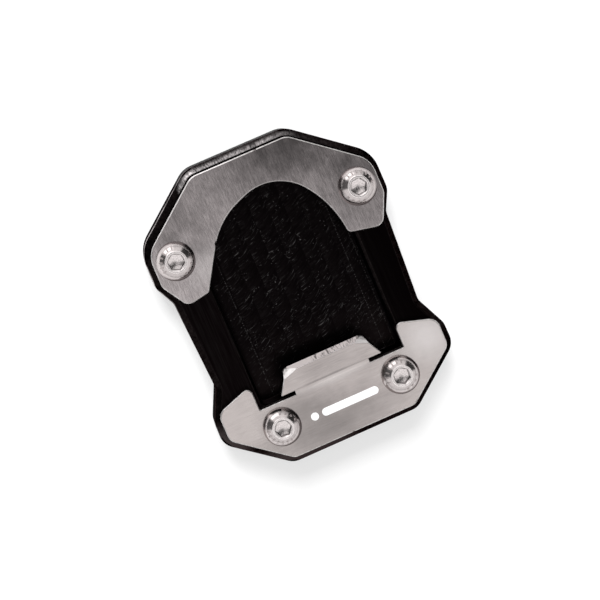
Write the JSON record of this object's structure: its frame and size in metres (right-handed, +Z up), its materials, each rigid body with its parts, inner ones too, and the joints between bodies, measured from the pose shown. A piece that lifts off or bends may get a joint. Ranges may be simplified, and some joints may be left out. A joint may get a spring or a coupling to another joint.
{
  "type": "kickstand foot enlarger",
  "caption": "Foot enlarger for a motorcycle side stand: a black aluminium base plate with a pocket, steel clamp plates at both ends, and button head screws.",
  "frame": {"origin": "centre of the underside, under the middle of the base plate's bounding box", "axes": "+X to the right seen from above, +Y towards the horseshoe plate, +Z up; the underside lies on z = 0"},
  "size_m": [0.0688, 0.0852, 0.0183],
  "materials": {
    "black_anodised": "black anodised, milled",
    "brushed_front": "brushed along its length",
    "brushed_rear": "brushed across its width",
    "screw_steel": "plain stainless, smooth"
  },
  "bodies": {
    "root": {"base_plate": "black_anodised", "front_clamp_plate": "brushed_front", "rear_clamp_plate": "brushed_rear", "front_left_screw": "screw_steel", "front_right_screw": "screw_steel", "rear_left_screw": "screw_steel", "rear_right_screw": "screw_steel"}
  },
  "joints": []
}
